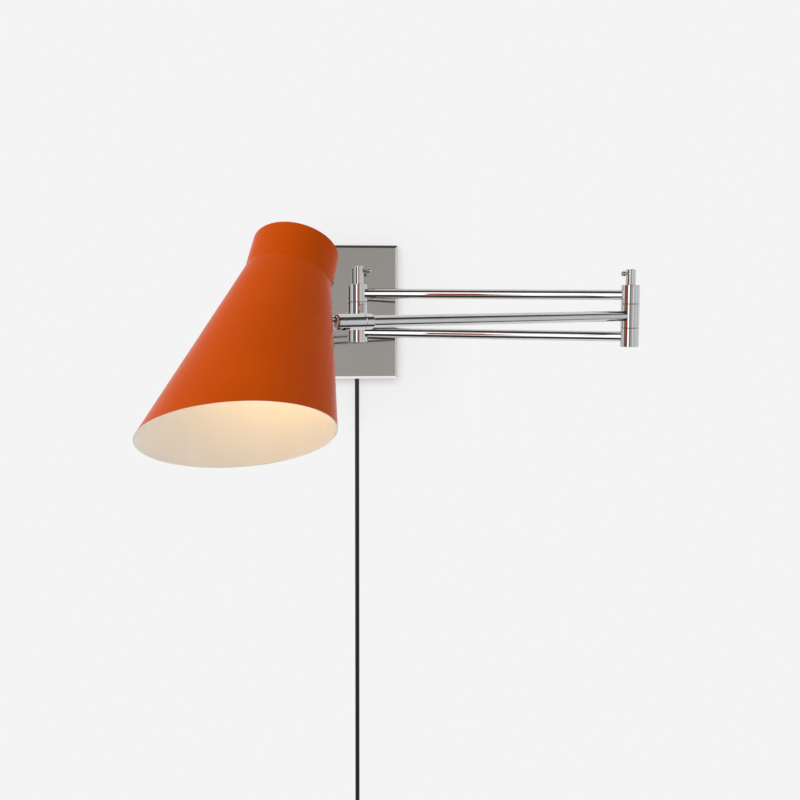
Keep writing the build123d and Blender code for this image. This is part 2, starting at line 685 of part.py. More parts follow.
# screw cap and glass of the bulb
CAP_LOW = HOLDER_TOP + 8.1
with BuildPart() as bulb_cap:
    with BuildSketch(shade_profile):
        with BuildLine():
            Polyline(
                (0, CAP_LOW), (4.0, CAP_LOW), (8.5, CAP_LOW + 3.6), (12.7, CAP_LOW + 4.6),
                (13.3, CAP_LOW + 6.4), (12.5, CAP_LOW + 8.2), (13.3, CAP_LOW + 10.0),
                (12.5, CAP_LOW + 11.8), (13.3, CAP_LOW + 13.6), (12.5, CAP_LOW + 15.4),
                (13.3, CAP_LOW + 17.2), (12.8, CAP_LOW + 19.0), (12.8, CAP_LOW + 25.5), (0, CAP_LOW + 25.5),
                close=True,
            )
        make_face()
    revolve(axis=Axis(NECK, AXIS))
    with BuildSketch(shade_plane.offset(CAP_LOW + 6.5)):
        Circle(11.6)
    extrude(amount=20, mode=Mode.SUBTRACT)
write(bulb_cap, "bulb_cap")

GLASS_LOW = CAP_LOW + 25.5


def glass_outline(inset):
    """Half of the bulb's outline, drawn in by the inset."""
    Line((0, GLASS_LOW), (12.6 - inset, GLASS_LOW))
    Spline(
        (12.6 - inset, GLASS_LOW),
        (14.5 - inset, GLASS_LOW + 12),
        (24.0 - inset, GLASS_LOW + 33),
        (29.8 - inset, GLASS_LOW + 55),
        (24.5 - inset, GLASS_LOW + 74 - 0.6 * inset),
        (0, GLASS_LOW + 85 - inset),
        tangents=((0.05, 1), (-1, 0)),
    )
    Line((0, GLASS_LOW + 85 - inset), (0, GLASS_LOW))


with BuildPart() as bulb_glass:
    with BuildSketch(shade_profile):
        with BuildLine():
            glass_outline(0.0)
        make_face()
    revolve(axis=Axis(NECK, AXIS))
    with BuildSketch(shade_profile):
        with BuildLine():
            glass_outline(0.9)
        make_face()
    revolve(axis=Axis(NECK, AXIS), mode=Mode.SUBTRACT)
write(bulb_glass, "bulb_glass")

# ------------------------------------------------------------- rotary switch
KNOB_BASE = NECK + AXIS * KNOB_AT
with BuildPart() as switch_body:
    with BuildSketch(Plane(origin=KNOB_BASE + KNOB_DIR * (HOLDER_R - 0.6), x_dir=AXIS, z_dir=KNOB_DIR)):
        RectangleRounded(17, 14, 2)
    extrude(amount=15.6)
    with BuildSketch(Plane(origin=KNOB_BASE + KNOB_DIR * (HOLDER_R + 15.0), x_dir=AXIS, z_dir=KNOB_DIR)):
        Circle(4.2)
    extrude(amount=44.0 - NECK_R + 43.5 - HOLDER_R - 15.0)
    with BuildSketch(Plane(origin=KNOB_BASE + KNOB_DIR * (HOLDER_R + 6.0), x_dir=AXIS, z_dir=KNOB_DIR)):
        Circle(1.65)
    extrude(amount=30, mode=Mode.SUBTRACT)
    with BuildSketch(shade_plane.offset(HOLDER_TOP - 2)):
        Circle(HOLDER_R)
    extrude(amount=60, mode=Mode.SUBTRACT)
write(switch_body, "switch_body")

with BuildPart() as switch_knob:
    with BuildSketch(Plane(origin=KNOB_BASE + KNOB_DIR * (HOLDER_R + 8.0), x_dir=AXIS, z_dir=KNOB_DIR)):
        Circle(1.6)
    extrude(amount=NECK_R - HOLDER_R - 8.0 + 1.0)
    with BuildSketch(Plane(origin=KNOB_BASE + KNOB_DIR * (NECK_R + 0.5), x_dir=AXIS, z_dir=KNOB_DIR)):
        Circle(KNOB_R)
    knob = extrude(amount=KNOB_OUT - 0.5)
    chamfer(knob.faces().sort_by(Axis(KNOB_BASE, KNOB_DIR))[-1].edges(), 0.7)
    with BuildSketch(Plane(origin=KNOB_BASE + KNOB_DIR * (NECK_R + 0.5), x_dir=AXIS, z_dir=KNOB_DIR)):
        with PolarLocations(KNOB_R + 0.25, 14):
            Circle(0.5)
    extrude(amount=8, mode=Mode.SUBTRACT)
write(switch_knob, "switch_knob")


# ---------------------------------------------------------------- inner leads
def rod(low, high, radius):
    way = (high - low).normalized()
    with BuildPart() as made:
        with BuildSketch(Plane(origin=low, z_dir=way)):
            Circle(radius)
        extrude(amount=(high - low).length)
    return made


rear_lead = rod(
    HINGE + Vector(0, 0, TUBE_Z) + REAR_DIR * 5.2,
    HINGE + Vector(0, 0, TUBE_Z) + REAR_DIR * (REAR_LEN - 5.2),
    2.0,
)
write(rear_lead, "rear_lead")
front_lead = rod(ELBOW + FRONT_DIR * 5.2, ELBOW + FRONT_DIR * 403.0, 2.0)
write(front_lead, "front_lead")

with BuildPart() as supply_lead:
    with BuildLine():
        supply_path = FilletPolyline(
            (0, -14, -44), (0, -3.2, -20), (0, -3.2, 0), (0, -28, 0), radius=[9, 5]
        )
    with BuildSketch(Plane(origin=supply_path @ 0, z_dir=supply_path % 0)):
        Circle(1.9)
    sweep()
write(supply_lead, "supply_lead")

with BuildPart() as wire_connectors:
    for x in (-8.0, 8.0):
        with BuildSketch(Plane.XY.offset(-64)):
            with Locations((x, -13.2)):
                Circle(4.0)
        cap = extrude(amount=16)
        chamfer(cap.edges().group_by(Axis.Z)[-1], 1.2)
        with BuildSketch(Plane.XY.offset(-64)):
            with Locations((x, -13.2)):
                Circle(2.4)
        extrude(amount=5, mode=Mode.SUBTRACT)
write(wire_connectors, "wire_connectors")

with BuildPart() as cord_conductors:
    for x in (-1.0, 1.0):
        with BuildLine():
            strand = FilletPolyline(
                (1.5 * x, CORD_Y, -73.0),
                (1.5 * x, CORD_Y, -70.5),
                (8 * x, -13.2, -67.0),
                (8 * x, -13.2, -59.5),
                radius=[1.2, 1.2],
            )
        with BuildSketch(Plane(origin=strand @ 0, z_dir=strand % 0)):
            Circle(1.0)
        sweep()
write(cord_conductors, "cord_conductors")

# The lead inside the shade, from the lug to the side of the lampholder.
with BuildPart() as shade_lead:
    start = FOOT + FOOT_DIR * -2.0
    with BuildLine():
        shade_path = FilletPolyline(
            start,
            FOOT + FOOT_DIR * 14,
            NECK + BACK * 25.5 - AXIS * 1.0 + PIN_DIR * 2.0,
            NECK + BACK * (HOLDER_R + 4.2) - AXIS * 4.2 + PIN_DIR * 4.0,
            radius=[5.0, 2.5],
        )
    with BuildSketch(Plane(origin=shade_path @ 0, z_dir=shade_path % 0)):
        Circle(1.9)
    sweep()
write(shade_lead, "shade_lead")

# ----------------------------------------------------------- cord and plug
# The bushing that the cord comes out of, almost flush with the plate's underside.
BOTTOM = -PLATE_H / 2
with BuildPart() as cord_bushing:
    with BuildSketch(Plane(origin=(0, CORD_Y, 0), x_dir=(1, 0, 0), z_dir=(0, -1, 0))):
        with BuildLine():
            Polyline(
                (CORD_R + 0.05, BOTTOM + 10),
                (4.2, BOTTOM + 10),
                (4.2, BOTTOM + 4.0),
                (5.7, BOTTOM + 4.0),
                (5.7, BOTTOM + 1.7),
                (4.2, BOTTOM + 1.7),
                (4.2, BOTTOM),
                (3.7, BOTTOM - 0.6),
                (CORD_R + 0.05, BOTTOM - 0.6),
                close=True,
            )
        make_face()
    revolve(axis=Axis((0, CORD_Y, 0), (0, 0, 1)))
write(cord_bushing, "cord_bushing")

TURN = 61.6  # the cord's turn into the coil
RUN = 40.0
RADIUS = 0.45 * RUN / tan(radians(TURN / 2))
ONWARD = Vector(sin(radians(TURN)), 0, -cos(radians(TURN)))
CORNER = Vector(0, CORD_Y, CORD_STRAIGHT_END - 0.45 * RUN)
LAST = CORNER + ONWARD * RUN
ENTRY = CORNER + ONWARD * 0.45 * RUN
COIL = Vector(
    ENTRY.X - COIL_R * cos(radians(TURN)), CORD_Y, ENTRY.Z - COIL_R * sin(radians(TURN))
)
COIL_RADIAL, COIL_DEEP = 13.0, 18.0


print("cord bend radii", [round(RADIUS, 2)], "corner", CORNER, "last", LAST, "coil", COIL)
with BuildPart() as cord:
    with BuildLine():
        cord_path = FilletPolyline(
            (0, CORD_Y, -73.0), CORNER, LAST, radius=[RADIUS]
        )
    with BuildSketch(Plane(origin=cord_path @ 0, z_dir=cord_path % 0)):
        Circle(CORD_R)
    sweep()
    print(
        "cord volume over section times length",
        cord.part.volume / (pi * CORD_R**2 * cord_path.length),
        cord_path.length,
    )
    # it runs tangentially onto the bundle, and stops at its surface
    split(bisect_by=Plane(origin=ENTRY + ONWARD * 3, z_dir=ONWARD), keep=Keep.BOTTOM)
    with BuildSketch(Plane(origin=COIL, x_dir=(1, 0, 0), z_dir=(0, 0, 1))):
        with Locations((COIL_R, 0)):
            RectangleRounded(COIL_RADIAL, COIL_DEEP, 3.0)
    revolve(axis=Axis(COIL, (0, 1, 0)), mode=Mode.SUBTRACT)
print("cord solids", len(cord.part.solids()), [round(b.volume, 1) for b in cord.part.solids()])
write(cord, "cord")

# five turns in a tied ring that hangs on the cord
with BuildPart() as cord_coil:
    with BuildSketch(Plane(origin=COIL, x_dir=(1, 0, 0), z_dir=(0, 0, 1))):
        with Locations((COIL_R, 0)):
            RectangleRounded(COIL_RADIAL, COIL_DEEP, 3.0)
    revolve(axis=Axis(COIL, (0, 1, 0)))
write(cord_coil, "cord_coil")

with BuildPart() as cord_tie:
    with BuildSketch(Plane(origin=COIL + Vector(-32.65, 0, -6), x_dir=(1, 0, 0), z_dir=(0, 0, 1))):
        RectangleRounded(17.2, 20.4, 3.5)
        RectangleRounded(14.4, 18.2, 2.4, mode=Mode.SUBTRACT)
    extrude(amount=12)
write(cord_tie, "cord_tie")

TAIL_X = COIL.X + COIL_R
PLUG_TOP = COIL.Z - COIL_R - 12.0
with BuildPart() as cord_tail:
    with BuildSketch(Plane(origin=(TAIL_X, COIL.Y, COIL.Z - 18.0), z_dir=(0, 0, -1))):
        Circle(CORD_R)
    extrude(amount=COIL.Z - 18.0 - PLUG_TOP + 6.0)
    with BuildSketch(Plane(origin=COIL, x_dir=(1, 0, 0), z_dir=(0, 0, 1))):
        with Locations((COIL_R, 0)):
            RectangleRounded(COIL_RADIAL, COIL_DEEP, 3.0)
    revolve(axis=Axis(COIL, (0, 1, 0)), mode=Mode.SUBTRACT)
print("tail solids", [round(b.volume, 1) for b in cord_tail.part.solids()])
write(cord_tail, "cord_tail")

with BuildPart() as plug_body:
    with BuildSketch(Plane(origin=(TAIL_X, COIL.Y, PLUG_TOP - 14), x_dir=(1, 0, 0), z_dir=(0, 0, -1))):
        RectangleRounded(25, 14.5, 5)
    extrude(amount=21)
    chamfer(plug_body.edges().group_by(Axis.Z)[0], 1.2)
    chamfer(plug_body.edges().group_by(Axis.Z)[-1], 2.0)
    with BuildSketch(Plane(origin=(TAIL_X, COIL.Y, PLUG_TOP), z_dir=(0, 0, -1))):
        Circle(4.4)
    extrude(amount=15, taper=-8)
    with BuildSketch(Plane(origin=(TAIL_X, COIL.Y, PLUG_TOP), z_dir=(0, 0, -1))):
        Circle(CORD_R + 0.02)
    extrude(amount=6.2, mode=Mode.SUBTRACT)
    for side in (-1, 1):
        with BuildSketch(Plane(origin=(TAIL_X, COIL.Y + side * 7.25, PLUG_TOP - 24), x_dir=(1, 0, 0), z_dir=(0, -side, 0))):
            with Locations(*[(0, 4 * k) for k in (-1, 0, 1)]):
                RectangleRounded(14, 1.4, 0.6)
        extrude(amount=0.7, mode=Mode.SUBTRACT)
    with BuildSketch(Plane(origin=(TAIL_X, COIL.Y, PLUG_TOP - 28), x_dir=(1, 0, 0), z_dir=(0, 0, -1))):
        with Locations((-6.35, 0), (6.35, 0)):
            Rectangle(1.6, 6.4)
    extrude(amount=10, mode=Mode.SUBTRACT)
write(plug_body, "plug_body")

with BuildPart() as plug_blades:
    for x in (-6.35, 6.35):
        with BuildSketch(Plane(origin=(TAIL_X + x - 0.75, COIL.Y, 0), x_dir=(0, 1, 0), z_dir=(1, 0, 0))):
            with Locations((0, PLUG_TOP - 28.2 - 12.0)):
                RectangleRounded(6.35, 24.0, 1.0)
            with Locations((0, PLUG_TOP - 28.2 - 20.0)):
                Circle(1.6, mode=Mode.SUBTRACT)
        extrude(amount=1.5)
write(plug_blades, "plug_blades")
print("lowest", PLUG_TOP - 52.2)
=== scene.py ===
import json
import math

import bpy
from mathutils import Matrix, Vector


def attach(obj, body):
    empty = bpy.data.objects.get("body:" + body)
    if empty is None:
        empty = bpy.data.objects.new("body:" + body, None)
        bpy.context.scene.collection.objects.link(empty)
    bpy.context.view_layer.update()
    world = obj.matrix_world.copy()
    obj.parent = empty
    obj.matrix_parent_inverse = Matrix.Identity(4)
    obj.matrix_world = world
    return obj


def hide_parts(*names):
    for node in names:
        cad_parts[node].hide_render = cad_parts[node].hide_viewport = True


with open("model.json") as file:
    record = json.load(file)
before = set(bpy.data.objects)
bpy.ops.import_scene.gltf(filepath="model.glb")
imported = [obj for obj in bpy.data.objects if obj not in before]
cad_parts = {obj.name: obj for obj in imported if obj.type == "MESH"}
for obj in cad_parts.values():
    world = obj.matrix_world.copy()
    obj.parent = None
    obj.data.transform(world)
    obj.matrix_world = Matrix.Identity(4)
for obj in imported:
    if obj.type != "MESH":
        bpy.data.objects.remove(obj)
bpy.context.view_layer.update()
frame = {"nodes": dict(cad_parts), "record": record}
NODES = frame["nodes"]
scene = bpy.context.scene
mm = 0.001


# --------------------------------------------------------------------- camera
def place_camera():
    """The photograph's viewpoint: nearly level, a little to the left of the plate."""
    yaw, pitch, roll = (math.radians(a) for a in (6.3206, 5.7244, 0.1426))
    forward = Vector(
        (math.sin(yaw) * math.cos(pitch), math.cos(yaw) * math.cos(pitch), -math.sin(pitch))
    )
    right = Vector((math.cos(yaw), -math.sin(yaw), 0))
    up = right.cross(forward)
    right, up = (
        right * math.cos(roll) + up * math.sin(roll),
        up * math.cos(roll) - right * math.sin(roll),
    )
    data = bpy.data.cameras.new("camera")
    data.lens, data.sensor_width, data.sensor_fit = 54.0, 36.0, "HORIZONTAL"
    data.clip_start, data.clip_end = 0.05, 60
    camera = bpy.data.objects.new("camera", data)
    turn = Matrix((right, up, -forward)).transposed().to_4x4()
    camera.matrix_world = Matrix.Translation((-0.12026, -1.62428, 0.04361)) @ turn
    scene.collection.objects.link(camera)
    scene.camera = camera


place_camera()

# ----------------------------------------------------------------------- cord
CORD_Y = -10.0
CORNER = Vector((0, CORD_Y, -702.0))
TURN = math.radians(61.6)
ONWARD = Vector((math.sin(TURN), 0, -math.cos(TURN)))
COIL = Vector((0.138, CORD_Y, -739.59))


def cord_points():
    """The route: straight down from the plate, then five and a half turns in
    two layers of three, then a short tail to the plug."""
    points = [
        Vector((0, CORD_Y, -84.0)),
        Vector((0, CORD_Y, -662.0)),
        Vector((0, CORD_Y, -700.5)),
    ]
    per_turn = 16
    lanes = [(36.0, -10.0), (36.0, -16.0), (30.0, -16.0), (30.0, -10.0), (30.0, -4.0), (36.0, -4.0)]
    grow = 1 / math.cos(math.pi / per_turn) ** 0.5
    start = math.radians(50.0)
    total = 5 * per_turn + 3
    for i in range(total):
        turns = i / per_turn
        lane = min(int(turns), 5)
        share = turns - lane
        blend = 0.0
        if lane < 5 and share > 0.72:
            u = min((share - 0.72) / 0.26, 1.0)
            blend = u * u * (3 - 2 * u)
        r0, y0 = lanes[lane]
        r1, y1 = lanes[min(lane + 1, 5)]
        r = (r0 + (r1 - r0) * blend) * grow
        y = y0 + (y1 - y0) * blend
        angle = start - turns * 2 * math.pi
        points.append(
            Vector((COIL.x + r * math.cos(angle), y, COIL.z + r * math.sin(angle)))
        )
    points.append(Vector((COIL.x + 35.4, -5.0, COIL.z - 16.0)))
    points.append(Vector((COIL.x + 33.4, -8.6, COIL.z - 32.0)))
    points.append(Vector((COIL.x + 33.0, -10.0, COIL.z - 48.0)))
    return points


def make_cord():
    data = bpy.data.curves.new("flex", "CURVE")
    data.dimensions = "3D"
    points = cord_points()
    spline = data.splines.new("NURBS")
    spline.points.add(len(points) - 1)
    for slot, p in zip(spline.points, points):
        slot.co = (p.x * mm, p.y * mm, p.z * mm, 1)
        slot.radius = 3.0 * mm
    spline.order_u = 3
    spline.use_endpoint_u = True
    spline.resolution_u = 8
    # The half thickness stands on the points, since a curve's box is padded by it.
    data.bevel_depth = 1.0
    data.bevel_resolution = 5
    data.use_fill_caps = True
    obj = bpy.data.objects.new("flex", data)
    scene.collection.objects.link(obj)
    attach(obj, "wall")
    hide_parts("cord", "cord_coil", "cord_tail")
    return obj


flex = make_cord()


# ------------------------------------------------------------------ materials
def new_material(name):
    material = bpy.data.materials.new(name)
    material.use_nodes = True
    tree = material.node_tree
    shader = tree.nodes["Principled BSDF"]
    return material, tree, shader


def coords(tree, scale):
    where = tree.nodes.new("ShaderNodeTexCoord")
    mapping = tree.nodes.new("ShaderNodeMapping")
    mapping.inputs["Scale"].default_value = scale
    tree.links.new(where.outputs["Object"], mapping.inputs["Vector"])
    return mapping.outputs["Vector"]


def noise(tree, vector, scale, detail=3.0, rough=0.5):
    node = tree.nodes.new("ShaderNodeTexNoise")
    node.inputs["Scale"].default_value = scale
    node.inputs["Detail"].default_value = detail
    node.inputs["Roughness"].default_value = rough
    tree.links.new(vector, node.inputs["Vector"])
    return node.outputs["Fac"]


def ramp(tree, factor, stops):
    node = tree.nodes.new("ShaderNodeValToRGB")
    band = node.color_ramp
    band.elements[0].position, band.elements[0].color = stops[0][0], (*stops[0][1], 1)
    band.elements[1].position, band.elements[1].color = stops[-1][0], (*stops[-1][1], 1)
    for position, colour in stops[1:-1]:
        band.elements.new(position).color = (*colour, 1)
    tree.links.new(factor, node.inputs["Fac"])
    return node.outputs["Color"]


def spread(tree, factor, low, high, from_low=0.3, from_high=0.7):
    node = tree.nodes.new("ShaderNodeMapRange")
    node.inputs["From Min"].default_value = from_low
    node.inputs["From Max"].default_value = from_high
    node.inputs["To Min"].default_value = low
    node.inputs["To Max"].default_value = high
    tree.links.new(factor, node.inputs["Value"])
    return node.outputs["Result"]


def bump(tree, shader, height, strength, distance):
    node = tree.nodes.new("ShaderNodeBump")
    node.inputs["Strength"].default_value = strength
    node.inputs["Distance"].default_value = distance
    tree.links.new(height, node.inputs["Height"])
    tree.links.new(node.outputs["Normal"], shader.inputs["Normal"])
    return node


def metal(name, dark, light, rough, scale=(1, 1, 1), grain=900.0, strength=0.02, patch=35.0):
    """Polished or brushed metal: faint tone patches, fine polishing grain."""
    material, tree, shader = new_material(name)
    shader.inputs["Metallic"].default_value = 1.0
    vector = coords(tree, scale)
    tone = noise(tree, vector, patch, 4.0)
    tree.links.new(
        ramp(tree, tone, [(0.35, dark), (0.65, light)]), shader.inputs["Base Color"]
    )
    wipe = noise(tree, vector, patch * 2.3, 6.0, 0.6)
    tree.links.new(spread(tree, wipe, rough[0], rough[1]), shader.inputs["Roughness"])
    fine = noise(tree, vector, grain, 2.0)
    bump(tree, shader, fine, strength, 0.0001)
    return material


def plastic(name, dark, light, rough, grain=1400.0, strength=0.08, coat=0.0, patch=60.0):
    material, tree, shader = new_material(name)
    vector = coords(tree, (1, 1, 1))
    tone = noise(tree, vector, patch, 4.0)
    tree.links.new(
        ramp(tree, tone, [(0.3, dark), (0.7, light)]), shader.inputs["Base Color"]
    )
    wipe = noise(tree, vector, patch * 2.1, 5.0)
    tree.links.new(spread(tree, wipe, rough[0], rough[1]), shader.inputs["Roughness"])
    fine = noise(tree, vector, grain, 2.0)
    bump(tree, shader, fine, strength, 0.0001)
    if coat:
        shader.inputs["Coat Weight"].default_value = coat
        shader.inputs["Coat Roughness"].default_value = 0.08
    return material


def lacquer():
    """Gloss orange lacquer over spun metal, with faint orange peel."""
    material, tree, shader = new_material("lacquer_orange")
    vector = coords(tree, (1, 1, 1))
    tone = noise(tree, vector, 14.0, 3.0)
    tree.links.new(
        ramp(tree, tone, [(0.25, (0.53, 0.067, 0.0020)), (0.75, (0.57, 0.075, 0.0026))]),
        shader.inputs["Base Color"],
    )
    wipe = noise(tree, vector, 22.0, 5.0)
    tree.links.new(spread(tree, wipe, 0.22, 0.28), shader.inputs["Roughness"])
    peel = noise(tree, vector, 420.0, 1.5)
    bump(tree, shader, peel, 0.05, 0.0002)
    shader.inputs["Specular IOR Level"].default_value = 0.1
    shader.inputs["IOR"].default_value = 1.22
    return material


def enamel():
    """Matt cream-white inside of the shade."""
    material, tree, shader = new_material("enamel_cream")
    vector = coords(tree, (1, 1, 1))
    tone = noise(tree, vector, 25.0, 4.0)
    tree.links.new(
        ramp(tree, tone, [(0.3, (0.865, 0.825, 0.762)), (0.7, (0.895, 0.86, 0.80))]),
        shader.inputs["Base Color"],
    )
    wipe = noise(tree, vector, 60.0, 4.0)
    tree.links.new(spread(tree, wipe, 0.55, 0.68), shader.inputs["Roughness"])
    fine = noise(tree, vector, 700.0, 2.0)
    bump(tree, shader, fine, 0.08, 0.0001)
    return material


def opal():
    """Opal glass, lit from within."""
    material, tree, shader = new_material("opal_lit")
    vector = coords(tree, (1, 1, 1))
    tone = noise(tree, vector, 40.0, 3.0)
    tree.links.new(
        ramp(tree, tone, [(0.3, (1.0, 0.68, 0.36)), (0.7, (1.0, 0.72, 0.40))]),
        shader.inputs["Emission Color"],
    )
    shader.inputs["Base Color"].default_value = (0.9, 0.88, 0.82, 1)
    shader.inputs["Emission Strength"].default_value = BULB
    wipe = noise(tree, vector, 50.0, 3.0)
    tree.links.new(spread(tree, wipe, 0.18, 0.26), shader.inputs["Roughness"])
    return material


def webbing():
    """Woven hook-and-loop strap."""
    material, tree, shader = new_material("strap_woven")
    vector = coords(tree, (1, 1, 1))
    weave = tree.nodes.new("ShaderNodeTexWave")
    weave.inputs["Scale"].default_value = 260.0
    weave.inputs["Distortion"].default_value = 1.0
    weave.bands_direction = "Z"
    tree.links.new(vector, weave.inputs["Vector"])
    tree.links.new(
        ramp(tree, weave.outputs["Fac"], [(0.2, (0.012, 0.012, 0.013)), (0.8, (0.04, 0.04, 0.042))]),
        shader.inputs["Base Color"],
    )
    fuzz = noise(tree, vector, 900.0, 3.0)
    tree.links.new(spread(tree, fuzz, 0.75, 0.95), shader.inputs["Roughness"])
    bump(tree, shader, weave.outputs["Fac"], 0.5, 0.0003)
    return material


BULB = 3.85
nickel = metal("nickel_polished", (0.60, 0.59, 0.58), (0.65, 0.64, 0.63), (0.03, 0.07), strength=0.012)
nickel_plate = metal(
    "nickel_plate", (0.575, 0.56, 0.54), (0.60, 0.585, 0.565), (0.025, 0.05), patch=12.0, strength=0.006
)
zinc = metal("zinc_steel", (0.42, 0.43, 0.44), (0.58, 0.58, 0.57), (0.28, 0.42), patch=90.0, strength=0.15)
steel = metal("bolt_steel", (0.40, 0.40, 0.40), (0.52, 0.52, 0.51), (0.18, 0.30), patch=120.0, strength=0.1)
brass = metal("brass_plain", (0.62, 0.44, 0.20), (0.72, 0.54, 0.28), (0.22, 0.34), patch=110.0, strength=0.1)
cap_metal = metal("cap_metal", (0.62, 0.62, 0.61), (0.74, 0.74, 0.73), (0.22, 0.34), patch=90.0, strength=0.1)
phenolic = plastic("phenolic_black", (0.012, 0.012, 0.013), (0.028, 0.027, 0.027), (0.32, 0.46))
knob_black = plastic("knob_black", (0.008, 0.008, 0.009), (0.018, 0.018, 0.019), (0.16, 0.26), coat=0.4)
nylon = plastic("nylon_dark", (0.03, 0.03, 0.03), (0.06, 0.06, 0.058), (0.5, 0.65))
lead_black = plastic("lead_black", (0.012, 0.012, 0.012), (0.03, 0.03, 0.03), (0.35, 0.5))
lead_white = plastic("lead_white", (0.70, 0.70, 0.67), (0.80, 0.80, 0.77), (0.35, 0.5))
connector = plastic("connector_amber", (0.62, 0.30, 0.06), (0.78, 0.42, 0.10), (0.35, 0.5))
green = plastic("screw_green", (0.03, 0.16, 0.05), (0.05, 0.24, 0.08), (0.35, 0.5))
cord_rubber = plastic("cord_rubber", (0.002, 0.002, 0.002), (0.004, 0.004, 0.004), (0.14, 0.20), grain=2200.0, strength=0.05)
cord_rubber.node_tree.nodes["Principled BSDF"].inputs["IOR"].default_value = 1.55
orange, cream, lit, strap = lacquer(), enamel(), opal(), webbing()

BY_SLOT = {
    "nickel": nickel,
    "zinc_steel": zinc,
    "bolt_steel": steel,
    "green_screw": green,
    "brass": brass,
    "nylon": nylon,
    "orange_lacquer": orange,
    "phenolic": phenolic,
    "black_knob": knob_black,
    "cap_metal": cap_metal,
    "opal_glass": lit,
    "cord_black": cord_rubber,
    "lead_black": lead_black,
    "lead_white": lead_white,
    "connector": connector,
    "tie": strap,
}
SLOT_OF = {s["node"]: s["material_slot"] for s in frame["record"]["subparts"]}
for name, obj in NODES.items():
    obj.data.materials.clear()
    obj.data.materials.append(BY_SLOT[SLOT_OF[name]])
    for polygon in obj.data.polygons:
        polygon.material_index = 0


def lean(material, degrees):
    """A face that is not quite true: it looks upward (or downward) by a few degrees."""
    tree = material.node_tree
    where = tree.nodes.new("ShaderNodeTexCoord")
    split = tree.nodes.new("ShaderNodeSeparateXYZ")
    slope = tree.nodes.new("ShaderNodeBump")
    slope.invert = degrees > 0
    slope.inputs["Strength"].default_value = 1.0
    slope.inputs["Distance"].default_value = math.tan(math.radians(abs(degrees)))
    tree.links.new(where.outputs["Object"], split.inputs["Vector"])
    tree.links.new(split.outputs["Z"], slope.inputs["Height"])
    for node in list(tree.nodes):
        if node.type == "BUMP" and node != slope:
            tree.links.new(slope.outputs["Normal"], node.inputs["Normal"])


nickel_face = nickel_plate.copy()
nickel_face.name = "nickel_plate_face"
nickel_top = nickel_plate.copy()
nickel_top.name = "nickel_plate_top"
lean(nickel_face, 4.5)
lean(nickel_top, -6.0)
pan = NODES["wall_plate"].data
pan.materials[0] = nickel_plate
pan.materials.append(nickel_face)
pan.materials.append(nickel_top)
for polygon in pan.polygons:
    if polygon.center.y < -0.0165 and polygon.normal.y < -0.5:
        if polygon.normal.z > 0.5:
            polygon.material_index = 2
        elif polygon.normal.y < -0.95 or polygon.normal.z < -0.5:
            polygon.material_index = 1
flex.data.materials.append(cord_rubber)

# ----------------------------------------------------- inside of the shade
NECK = Vector((-99.108, -394.661, 41.9959)) * mm
AXIS = Vector((-0.23056, -0.568277, -0.789876)).normalized()
BACK = Vector((0.87004, 0.243112, -0.428867)).normalized()
SLANT = math.radians(19.5)
TAPER = math.tan(math.radians(13.6))


def line_shade():
    """Faces that look toward the axis, and the cut rim, are cream."""
    shade = NODES["shade"]
    shade.data.materials.append(cream)
    mouth_normal = AXIS * math.cos(SLANT) + BACK * math.sin(SLANT)
    mouth_at = NECK + AXIS * 0.1845
    for polygon in shade.data.polygons:
        v = polygon.center - NECK
        a = v.dot(AXIS)
        out = v - AXIS * a
        r = out.length
        wall = 0.045 + max(a, 0.0) * TAPER
        on_rim = abs((polygon.center - mouth_at).dot(mouth_normal)) < 0.0002
        inside = r < wall - 0.0007 and a > -0.0410
        if on_rim or inside:
            polygon.material_index = 1


line_shade()

# ---------------------------------------------------------------------- stage
PALE = (0.905, 0.905, 0.905)


def one_sided(name, matt_colour, glow):
    """A pale backdrop that is only there on its front side."""
    material = bpy.data.materials.new(name)
    material.use_nodes = True
    tree = material.node_tree
    tree.nodes.clear()
    out = tree.nodes.new("ShaderNodeOutputMaterial")
    face = tree.nodes.new("ShaderNodeNewGeometry")
    clear = tree.nodes.new("ShaderNodeBsdfTransparent")
    matt = tree.nodes.new("ShaderNodeBsdfDiffuse")
    matt.inputs["Color"].default_value = (*matt_colour, 1)
    light = tree.nodes.new("ShaderNodeEmission")
    light.inputs["Color"].default_value = (1, 1, 1, 1)
    light.inputs["Strength"].default_value = glow
    both = tree.nodes.new("ShaderNodeAddShader")
    mix = tree.nodes.new("ShaderNodeMixShader")
    tree.links.new(matt.outputs["BSDF"], both.inputs[0])
    tree.links.new(light.outputs["Emission"], both.inputs[1])
    tree.links.new(face.outputs["Backfacing"], mix.inputs["Fac"])
    tree.links.new(both.outputs["Shader"], mix.inputs[1])
    tree.links.new(clear.outputs["BSDF"], mix.inputs[2])
    tree.links.new(mix.outputs["Shader"], out.inputs["Surface"])
    return material


